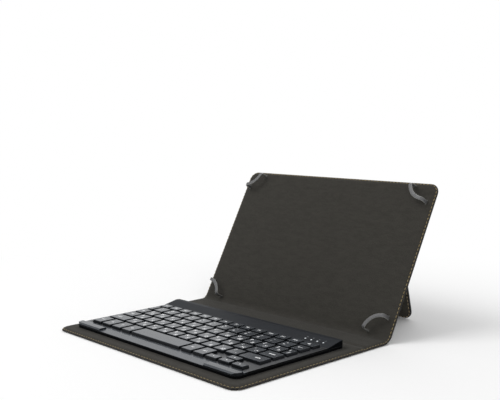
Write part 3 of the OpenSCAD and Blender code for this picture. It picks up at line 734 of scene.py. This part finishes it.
hinge_height = stand_path(STAND_FLAT + STAND_ARC)[0][1]
flap_length = (hinge_height - FOOT_RISE) / -FLAP_DOWN.z
stand_length = STAND_FLAT + STAND_ARC + flap_length
stand = Slab(
    stand_length, STAND_HALF, stand_path, stand_thick, STAND_R, near_r=TAB_R, top=FLAP_EDGE, low=FLAP_EDGE
)
stand_rows = [STAND_FLAT - 2.0 + 0.45 * k for k in range(26)] + [28.0 + 10 * k for k in range(9)]
kickstand = stand.piece("kickstand_flap", stand_rows, [LEATHER, STAND_CLOTH_PAINTED_LIGHT], edge_kind=0, low_lip=FLAP_LIP)
stand_seams = [
    stand.stitches("kickstand_seam_outside", THREAD_OUT, True),
    stand.stitches("kickstand_seam_inside", THREAD_OUT, False),
]
for piece in [kickstand, *stand_seams]:
    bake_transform(piece)
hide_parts("kickstand_tab", "kickstand_skin", "kickstand_lining")


# Closing strap: a sewn patch with a rolled shoulder, and a span and tongue in one straight piece

PATCH_LOW, PATCH_TOP, PATCH_T, PATCH_R = 142.7, COVER_D, 2.0, 4.0
PATCH_TOP_EDGE, PATCH_LOW_EDGE = (1.2, 0.4), (0.4, 0.1)
SHOULDER_S, SHOULDER_LONG, SHOULDER_RISE, SHOULDER_R = 15.0, 4.0, 1.0, 1.2
STRAP_ROOT, STRAP_ROOT_R, STRAP_BEND, STRAP_EDGE, STRAP_GROOVE = 0.9, 1.0, 3.5, (1.0, 0.35), 0.3
STRAP_STITCH = {"pitch": 3.4, "long": 2.5}


def patch_path(s):
    p = tablet_point(0, PATCH_LOW + s, -SEWN_LIFT)
    return (p.y, p.z), (math.sin(TILT), -math.cos(TILT))


def patch_thick(s):
    return PATCH_T + SHOULDER_RISE * ease((s - SHOULDER_S) / SHOULDER_LONG)


patch = Slab(
    PATCH_TOP - PATCH_LOW, STRAP_HALF, patch_path, patch_thick, SHOULDER_R,
    near_r=PATCH_R, top=PATCH_TOP_EDGE, low=PATCH_LOW_EDGE,
)
patch_rows = [SHOULDER_S + 0.5 * k for k in range(10)]
strap_patch = patch.piece("strap_patch_sewn", patch_rows, [LEATHER, LEATHER])
patch_seam = patch.stitches("strap_patch_seam", THREAD_OUT, True, **STRAP_STITCH)
for piece in (strap_patch, patch_seam):
    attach(piece, "tablet_cover")
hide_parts("strap_patch")

strap_fold = tablet_point(0, STRAP_V, STRAP_N)


def strap_path(s):
    """Straight down from the fold; up is towards the rear."""
    return (strap_fold.y - STRAP_T, strap_fold.z + STRAP_ROOT - s), (1.0, 0.0)


strap_length = STRAP_ROOT + STRAP_SPAN + STRAP_TIP
strap = Slab(
    strap_length, STRAP_HALF, strap_path, STRAP_T, STRAP_R,
    near_r=STRAP_ROOT_R, top=STRAP_EDGE, low=STRAP_EDGE, seam_deep=STRAP_GROOVE,
)
strap_rows = [STRAP_ROOT + STRAP_SPAN - 5 + 0.5 * k for k in range(21)]
strap_rows += [8.0, 16.0, 24.0, 32.0, 52.0, 60.0]
strap_band = strap.piece("strap_band", strap_rows, [LEATHER, LEATHER])
strap_seams = [
    strap.stitches("strap_seam_rear", THREAD_OUT, True, high=0.2, **STRAP_STITCH),
    strap.stitches("strap_seam_front", THREAD_OUT, False, high=0.26, **STRAP_STITCH),
]
for piece in [strap_band, *strap_seams]:
    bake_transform(piece)
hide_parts("strap_bridge", "strap_tongue", "strap_backing")


# Corner bands: elastic that comes out of the lining, over the edge and in a bow across the corner

BAND_LONG, BAND_SHORT, BAND_ROOM, BAND_T = 18.0, 15.0, 0.8, 1.2
BAND_TOP = THICK + TABLET_T + BAND_ROOM + BAND_T / 2
BAND_BEND, BAND_PULL = 2.8, 7.5
BAND_HALF_W, BAND_HALF_T = 1.9, 0.62
BOW = math.radians(30)
LEG_HEIGHTS = (1.2, 3.0, 5.0, 7.0, 9.0)
SLIT_LONG, SLIT_SHORT, SLIT_HALF_W, SLIT_HALF_T = 2.5, 1.05, 0.36, 0.22


def turned(v, angle):
    """A flat vector turned to the left."""
    c, s = math.cos(angle), math.sin(angle)
    return Vector((v.x * c - v.y * s, v.x * s + v.y * c))


# The two ends of a band at the lower right corner of the bay, and the way that it leaves each of them
end_one = Vector((TABLET_W / 2 - BAND_LONG, TABLET_FOOT - BAND_ROOM))
end_two = Vector((TABLET_W / 2 + BAND_ROOM, TABLET_FOOT + BAND_SHORT))
chord = (end_two - end_one).normalized()
go_one, go_two = turned(chord, BOW), turned(-chord, -BOW)


def band_leg(foot, go):
    """One leg of a band, from the lining up and round its bend, as pairs of (x, v, n) and the way up."""
    leg = [((foot.x, foot.y, n), (-go.x, -go.y, 0.0)) for n in (*LEG_HEIGHTS, BAND_TOP - BAND_BEND)]
    for k in range(1, 9):
        c, s = math.cos(math.pi * k / 16), math.sin(math.pi * k / 16)
        at = foot + go * (BAND_BEND * (1 - c))
        leg.append(((at.x, at.y, BAND_TOP - BAND_BEND + BAND_BEND * s), (-go.x * c, -go.y * c, s)))
    return leg


def band_line():
    """A whole band: up one leg, in a bow across the corner and down the other leg."""
    p0, p3 = end_one + go_one * BAND_BEND, end_two + go_two * BAND_BEND
    p1, p2 = p0 + go_one * BAND_PULL, p3 + go_two * BAND_PULL
    bow = []
    for k in range(1, 24):
        t = k / 24
        q = p0 * (1 - t) ** 3 + p1 * 3 * t * (1 - t) ** 2 + p2 * 3 * t * t * (1 - t) + p3 * t**3
        bow.append(((q.x, q.y, BAND_TOP), (0.0, 0.0, 1.0)))
    return band_leg(end_one, go_one) + bow + band_leg(end_two, go_two)[::-1]


def slit_line(middle, go):
    """A ring round one slit, as (x, v, n)."""
    ring = []
    for k in range(25):
        long, short = SLIT_LONG * math.cos(math.pi * k / 12), SLIT_SHORT * math.sin(math.pi * k / 12)
        x = middle.x - go.y * long + go.x * short
        ring.append((x, middle.y + go.x * long + go.y * short, THICK + SLIT_LIFT))
    return ring


def corner_band(name, side, upper):
    """One band and the bound slits that it comes out of, turned to its own corner."""
    origin = tablet_point(0, 0, 0)
    top = 2 * TABLET_FOOT + TABLET_H

    def put(p):
        return tablet_point(side * p[0], top - p[1] if upper else p[1], p[2])

    def way(u):
        return tablet_point(side * u[0], -u[1] if upper else u[1], u[2]) - origin

    line = band_line()
    path, ups = [put(p) for p, up in line], [way(up) for p, up in line]
    band = sweep("elastic_" + name, path, ups, BAND_HALF_W, BAND_HALF_T, ELASTIC)
    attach(band, "tablet_cover")
    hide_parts(name)
    for mark, middle, go in (("a", end_one, go_one), ("b", end_two, go_two)):
        ring = [put(p) for p in slit_line(middle, go)]
        flat = [way((0, 0, 1))] * len(ring)
        edge = sweep("slit_%s_%s" % (name, mark), ring, flat, SLIT_HALF_W, SLIT_HALF_T, THREAD_SLIT, 8)
        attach(edge, "tablet_cover")


corner_band("band_top_left", -1, True)
corner_band("band_top_right", 1, True)
corner_band("band_bottom_left", -1, False)
corner_band("band_bottom_right", 1, False)


# Places of the keys: rows from the rear, with widths in units of the pitch

PITCH, KEY_GAP, FIELD_UNITS, FIELD_EDGE = 16.4, 2.6, 13.5, 0.2
FN_UNIT, FN_DEEP, SPACE_DEEP, ARROW_STEP = 0.95, 12.8, 20.4, 4.8
FIELD_W = FIELD_UNITS * PITCH
FIELD_REAR = HUMP_Y - FIELD_EDGE


def row_units(first, plain):
    """A first key, plain keys, and a last key that fills the row."""
    return [first] + [1.0] * plain + [FIELD_UNITS - plain - first]


ROWS = [
    [FN_UNIT] * 13 + [FIELD_UNITS - 13 * FN_UNIT],
    row_units(0.6, 12),
    row_units(0.9, 12),
    row_units(1.2, 11),
    row_units(1.7, 10),
    [1.0] * 4 + [FIELD_UNITS - 9] + [1.0] * 5,
]
DEEP = [FN_DEEP] + [PITCH] * 4 + [SPACE_DEEP]
ROW_KEYS = [
    ["escape_key"] + ["function_keys"] * 12 + ["lock_key"],
    ["number_keys"] * 13 + ["backspace_key"],
    ["tab_key"] + ["upper_letter_keys"] * 13,
    ["caps_key"] + ["middle_letter_keys"] * 11 + ["enter_key"],
    ["left_shift_key"] + ["lower_letter_keys"] * 10 + ["right_shift_key"],
    ["control_key", "fn_key", "system_key", "alt_key", "space_key", "right_alt_key", "right_control_key"],
]

# Arrow keys of half depth in the last row: column, rear (1) or front (-1) half, and turn of the arrow
ARROWS = {
    "left_arrow_key": (7, -1, 180),
    "up_arrow_key": (8, 1, 90),
    "down_arrow_key": (8, -1, -90),
    "right_arrow_key": (9, -1, 0),
}


def key_middle(row, i):
    """Middle of a key with the width and depth of its cap."""
    x = -FIELD_W / 2 + PITCH * (sum(ROWS[row][:i]) + ROWS[row][i] / 2)
    y = FIELD_REAR - sum(DEEP[:row]) - DEEP[row] / 2
    return x, y, PITCH * ROWS[row][i] - KEY_GAP, DEEP[row] - KEY_GAP


# Legends: generic letters, digits and signs on the key tops

PRINT_Z = KEY_TOP + LEGEND_LIFT
FUNCTION_SIZE, DIGIT_SIZE, SIGN_SIZE, LETTER_SIZE, OTHER_SIZE, ARROW_SIZE = 3.4, 3.8, 3.4, 4.6, 4.8, 1.7

# Places of marks on a cap, in shares of its width and depth, or for DIGIT_Y and SIGN_Y in millimetres
DIGIT_X, DIGIT_Y, SIGN_Y = -0.144, -2.5, 2.6
LETTER_X, LETTER_Y, OTHER_X, OTHER_Y = -0.25, 0.22, 0.22, -0.22

glyphs = {}


def glyph(text):
    """Outline of a short text one unit high, filled, centred on its own box."""
    if text not in glyphs:
        data = bpy.data.curves.new("legend", "FONT")
        data.body, data.resolution_u, data.offset = text, 3, 0.04
        holder = put_object("legend", data)
        graph = bpy.context.evaluated_depsgraph_get()
        mesh = bpy.data.meshes.new_from_object(holder.evaluated_get(graph))
        spots = np.array([v.co[:2] for v in mesh.vertices], float).reshape(-1, 2)
        polys = [tuple(p.vertices) for p in mesh.polygons]
        bpy.data.objects.remove(holder)
        bpy.data.curves.remove(data)
        bpy.data.meshes.remove(mesh)
        if len(spots):
            spots = spots - 0.5 * (spots.min(0) + spots.max(0))
        glyphs[text] = spots, polys
    return glyphs[text]


class Print:
    """Flat marks that are gathered into one piece per key body."""

    def __init__(self):
        self.points, self.faces = [], []

    def add(self, outline, polys, x, y, size):
        first = len(self.points)
        self.points += [(x + size * p[0], y + size * p[1], PRINT_Z) for p in outline]
        self.faces += [tuple(first + k for k in f) for f in polys]

    def text(self, text, x, y, size):
        self.add(*glyph(text), x, y, size)

    def shape(self, outline, x, y, size=1.0):
        self.add(outline, [range(len(outline))], x, y, size)

    def ring(self, x, y, inner, outer, start=0.0, end=360.0, count=20):
        outline = []
        for k in range(count + 1):
            a = math.radians(start + (end - start) * k / count)
            outline += [(r * math.cos(a), r * math.sin(a)) for r in (inner, outer)]
        self.add(outline, [(2 * k, 2 * k + 1, 2 * k + 3, 2 * k + 2) for k in range(count)], x, y, 1.0)

    def piece(self, name, body, material=PRINT, slot="keycap_plastic"):
        made = make_piece(name, self.points, self.faces, [material])
        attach(made, body)

    def on_key(self, key):
        self.piece(key + "_legend", key)


def arrow(turn):
    """A small triangle that points to the right, turned to the left by degrees."""
    c, s = math.cos(math.radians(turn)), math.sin(math.radians(turn))
    tip = [(0.62, 0.0), (-0.38, 0.55), (-0.38, -0.55)]
    return [(x * c - y * s, x * s + y * c) for x, y in tip]


def bar(w, h, x=0.0, y=0.0):
    """A rectangle round its own middle."""
    return [(x - w / 2, y - h / 2), (x + w / 2, y - h / 2), (x + w / 2, y + h / 2), (x - w / 2, y + h / 2)]


# Keys with one word: row, place in the row, word, its size, and how far it stands aside in key widths
for key, row, i, word, size, aside in (
    ("escape_key", 0, 0, "esc", 2.9, 0.0),
    ("tab_key", 2, 0, "tab", 3.2, 0.0),
    ("caps_key", 3, 0, "caps", 3.2, 0.0),
    ("enter_key", 3, 12, "enter", 3.4, 0.06),
    ("left_shift_key", 4, 0, "shift", 3.4, -0.12),
    ("right_shift_key", 4, 11, "shift", 3.4, 0.16),
    ("control_key", 5, 0, "ctrl", 3.2, 0.0),
    ("fn_key", 5, 1, "fn", 3.2, 0.0),
    ("alt_key", 5, 3, "alt", 3.2, 0.0),
    ("right_alt_key", 5, 5, "alt", 3.2, 0.0),
    ("right_control_key", 5, 6, "ctrl", 3.2, 0.0),
):
    marks = Print()
    x, y, w, d = key_middle(row, i)
    marks.text(word, x + aside * w, y, size)
    marks.on_key(key)

marks = Print()
for i in range(12):
    x, y, w, d = key_middle(0, i + 1)
    marks.text("F%d" % (i + 1), x, y, FUNCTION_SIZE)
marks.on_key("function_keys")

# A padlock
marks = Print()
x, y, w, d = key_middle(0, 13)
marks.shape(bar(2.6, 2.0, 0.0, -0.7), x, y)
marks.ring(x, y + 0.3, 0.75, 1.1, 0.0, 180.0)
marks.on_key("lock_key")

marks = Print()
for i, (digit, sign) in enumerate(zip("`1234567890-=", "~!@#$%^&*()_+")):
    x, y, w, d = key_middle(1, i)
    marks.text(digit, x + DIGIT_X * w, y + DIGIT_Y, DIGIT_SIZE)
    marks.text(sign, x + DIGIT_X * w, y + SIGN_Y, SIGN_SIZE)
marks.on_key("number_keys")

# An arrow with a shaft
marks = Print()
x, y, w, d = key_middle(1, 13)
marks.shape(arrow(180), x - 1.6, y, 2.2)
marks.shape(bar(3.4, 0.5), x + 0.9, y)
marks.on_key("backspace_key")

# Letter keys, with a second alphabet in the front right corner
for key, row, letters, others in (
    ("upper_letter_keys", 2, "QWERTYUIOP[]\\", "ЙЦУКЕНГШЩЗХЪ/"),
    ("middle_letter_keys", 3, "ASDFGHJKL;'", "ФЫВАПРОЛДЖЭ"),
    ("lower_letter_keys", 4, "ZXCVBNM,./", "ЯЧСМИТЬБЮ."),
):
    marks = Print()
    for i, (letter, other) in enumerate(zip(letters, others)):
        x, y, w, d = key_middle(row, i + 1)
        marks.text(letter, x + LETTER_X * w, y + LETTER_Y * d, LETTER_SIZE)
        marks.text(other, x + OTHER_X * w, y + OTHER_Y * d, OTHER_SIZE)
    marks.on_key(key)

# A ring with a dot
marks = Print()
x, y, w, d = key_middle(5, 2)
marks.ring(x, y, 1.2, 1.6)
marks.shape(bar(0.5, 0.5), x, y, 1.6)
marks.on_key("system_key")

for key, (i, up, turn) in ARROWS.items():
    marks = Print()
    x, y, w, d = key_middle(5, i)
    marks.shape(arrow(turn), x, y + up * ARROW_STEP, ARROW_SIZE)
    marks.on_key(key)


# Rubber domes: a thin sheet, and a dome under each key

SHEET_FRONT, SHEET_D, SHEET_HALF, SHEET_R = -54.7, 98.2, 114.5, 1.5
SHEET_EDGE, SHEET_GROOVE = (0.2, 0.2), 0.05
SHEET_Z, SHEET_T, DOME_H, DOME_SIDES = 5.0, 0.3, 1.55, 16
DOME_Z = SHEET_Z + SHEET_T

# Radius and height of each ring of a dome
DOME = ((2.68, 0.0), (2.62, 0.22), (2.3, 0.62), (1.9, 1.1), (1.62, 1.44), (1.35, DOME_H), (0.7, DOME_H))


def film_path(s):
    return (SHEET_FRONT + s, SHEET_Z), (0.0, 1.0)


film = Slab(
    SHEET_D, SHEET_HALF, film_path, SHEET_T, SHEET_R,
    near_r=SHEET_R, top=SHEET_EDGE, low=SHEET_EDGE, seam_deep=SHEET_GROOVE,
)
dome_sheet = film.piece("dome_sheet_film", [12.0 * k for k in range(1, 8)], [RUBBER, RUBBER])
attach(dome_sheet, "keyboard_cover")
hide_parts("dome_sheet")

dome_places = {}
for row, keys in enumerate(ROW_KEYS):
    for i, key in enumerate(keys):
        dome_places.setdefault(key, []).append(key_middle(row, i)[:2])
for key, (i, up, turn) in ARROWS.items():
    x, y, w, d = key_middle(5, i)
    dome_places[key] = [(x, y + up * ARROW_STEP)]

for key, places in dome_places.items():
    points, faces = [], []
    for x, y in places:
        faces += ring_faces(len(points), len(DOME), DOME_SIDES)
        for r, h in DOME:
            for k in range(DOME_SIDES):
                a = 2 * math.pi * k / DOME_SIDES
                points.append((x + r * math.cos(a), y + r * math.sin(a), DOME_Z + h))
        faces.append(tuple(range(len(points) - DOME_SIDES, len(points))))
    domes = make_piece(key + "_domes", points, faces, [RUBBER])
    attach(domes, "keyboard_cover")
    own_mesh(domes)


# Insulator in the charging socket: a block at the rear with a contact tongue

# Rings from the rear to the tip: depth from the mouth, half width and half height
INSULATOR = (
    (5.1, 3.3, 0.85),
    (1.7, 3.3, 0.85),
    (1.5, 3.1, 0.65),
    (1.5, 2.2, 0.28),
    (0.75, 2.2, 0.28),
    (0.6, 2.0, 0.16),
)
socket_low, socket_high = (np.array(corner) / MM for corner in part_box("charge_socket"))
socket_middle = 0.5 * (socket_low + socket_high)
points = []
for deep, half_y, half_z in INSULATOR:
    for side_y, side_z in SQUARE:
        y = socket_middle[1] + side_y * half_y
        points.append((socket_low[0] + deep, y, socket_middle[2] + side_z * half_z))
faces = ring_faces(0, len(INSULATOR), len(SQUARE))
faces.append((0, 1, 2, 3))
faces.append(tuple(range(len(points) - 4, len(points))))
insulator = make_piece("socket_insulator", points, faces, [SWITCH])
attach(insulator, "keyboard_cover")


# Small signs behind the lights on the housing, from the right: power, charge, caps and battery

FLASH = [(-0.1, 1.1), (-0.7, -0.1), (0.0, -0.1), (0.1, -1.1), (0.7, 0.1), (0.0, 0.1)]
SIGN_BEHIND = 3.4
sign_y = HUMP_Y + LIGHT_SHARE * HUMP_FLAT + SIGN_BEHIND
sign_x = [KB_W / 2 - LIGHT_END - LIGHT_PITCH * k for k in range(4)]
marks = Print()
marks.ring(sign_x[0], sign_y, 0.55, 0.8, 120.0, 420.0)
marks.shape(bar(0.22, 0.9, 0.0, 0.5), sign_x[0], sign_y)
marks.shape(FLASH, sign_x[1], sign_y, 0.9)
marks.text("A", sign_x[2], sign_y, 2.2)
marks.shape(bar(1.7, 0.8), sign_x[3], sign_y)
marks.shape(bar(0.25, 0.4, 1.0), sign_x[3], sign_y)
sign_z = DECK_Z + SIGN_LIFT
marks.points = [(x, y, sign_z + (y - HUMP_Y) * HUMP_RISE / HUMP_FLAT) for x, y, z in marks.points]
marks.piece("light_icons", "keyboard_cover", PRINT_DARK, "housing_plastic")


# Camera: its focal length and sideways shift are in pixels of the photograph, which is IMAGE_W wide

IMAGE_W, SENSOR = 500.0, 36.0
FOCUS, SHIFT = 845.549, 50.0
CAMERA_AT, CAMERA_TURN = (597.063, -517.179, 218.967), (49.242, 6.085, -0.759)
azimuth, elevation, roll = (math.radians(v) for v in CAMERA_TURN)
level = math.cos(elevation)
behind = Vector((math.sin(azimuth) * level, -math.cos(azimuth) * level, math.sin(elevation)))
across = Vector((math.cos(azimuth), math.sin(azimuth), 0.0))
above = behind.cross(across)
right = across * math.cos(roll) + above * math.sin(roll)
upward = above * math.cos(roll) - across * math.sin(roll)
lens = bpy.data.cameras.new("camera")
lens.sensor_width = SENSOR
lens.lens = FOCUS * SENSOR / IMAGE_W
lens.shift_x = SHIFT / IMAGE_W
lens.clip_start, lens.clip_end = 0.01, 100.0
camera = put_object("camera", lens)
turn = Matrix((right, upward, behind)).transposed().to_4x4()
camera.matrix_world = Matrix.Translation(metres(CAMERA_AT)) @ turn
scene.camera = camera


# Lamps, in metres, and a world that looks white but gives half as much light


def lamp(name, place, aim, size, watts):
    data = bpy.data.lights.new(name, "AREA")
    data.shape, data.size, data.size_y = "RECTANGLE", size[0], size[1]
    data.energy = watts
    thing = put_object(name, data)
    thing.location = place
    thing.rotation_mode = "QUATERNION"
    thing.rotation_quaternion = (Vector(aim) - Vector(place)).to_track_quat("-Z", "Y")


def studio_world(soft_light):
    world = bpy.data.worlds.new("studio")
    world.use_nodes = True
    nodes, link = world.node_tree.nodes, world.node_tree.links.new
    nodes.clear()
    rays = nodes.new("ShaderNodeLightPath")
    pick = nodes.new("ShaderNodeMixShader")
    seen = rays.outputs["Is Camera Ray"]
    for ray in ("Is Glossy Ray", "Is Transmission Ray"):
        either = nodes.new("ShaderNodeMath")
        either.operation = "MAXIMUM"
        link(seen, either.inputs[0])
        link(rays.outputs[ray], either.inputs[1])
        seen = either.outputs[0]
    link(seen, pick.inputs["Fac"])
    for slot, strength in ((1, soft_light), (2, 1.0)):
        white = nodes.new("ShaderNodeBackground")
        white.inputs["Color"].default_value = (1.0, 1.0, 1.0, 1.0)
        white.inputs["Strength"].default_value = strength
        link(white.outputs[0], pick.inputs[slot])
    link(pick.outputs[0], nodes.new("ShaderNodeOutputWorld").inputs["Surface"])
    return world


lamp("key", (-0.7, -0.9, 1.5), (0, 0.05, 0.03), (1.2, 1.2), 17.0)
lamp("fill", (1.4, -0.8, 0.9), (0, 0.05, 0.05), (1.0, 1.0), 7.0)
lamp("rear", (-0.5, 1.3, 1.2), (0, 0.1, 0.05), (1.4, 0.8), 7.0)
scene.world = studio_world(0.5)


# Floor, in metres: pale round the object, where its shadow falls, and white paper further out

FLOOR_HALF, FLOOR_Z = 30, -0.0002
SHADOW_MIDDLE, SHADOW_NEAR, SHADOW_FAR = (0.0, 0.05, 0.0), 0.18, 0.55
ground = Shader("pale_floor")
ground.set(Base_Color=(0.93, 0.93, 0.93, 1.0), Roughness=0.9, Specular_IOR_Level=0.1)
spot = {0: ground.place(), 1: SHADOW_MIDDLE}
away = ground.add("VectorMath", spot, operation="DISTANCE").outputs["Value"]
paper = ground.add("Emission").outputs[0]
fade = {"Fac": ground.ramp(away, SHADOW_NEAR, SHADOW_FAR), 1: ground.bsdf.outputs[0], 2: paper}
surface = ground.add("MixShader", fade).outputs[0]
ground.feed(ground.tree.nodes["Material Output"].inputs["Surface"], surface)
floor_mesh = bpy.data.meshes.new("floor")
floor_corners = [(FLOOR_HALF * x, FLOOR_HALF * y, FLOOR_Z) for x, y in SQUARE]
floor_mesh.from_pydata(floor_corners, [], [(0, 1, 2, 3)])
floor_mesh.materials.append(ground.mat)
floor = put_object("floor", floor_mesh)

scene.view_settings.view_transform = "Standard"
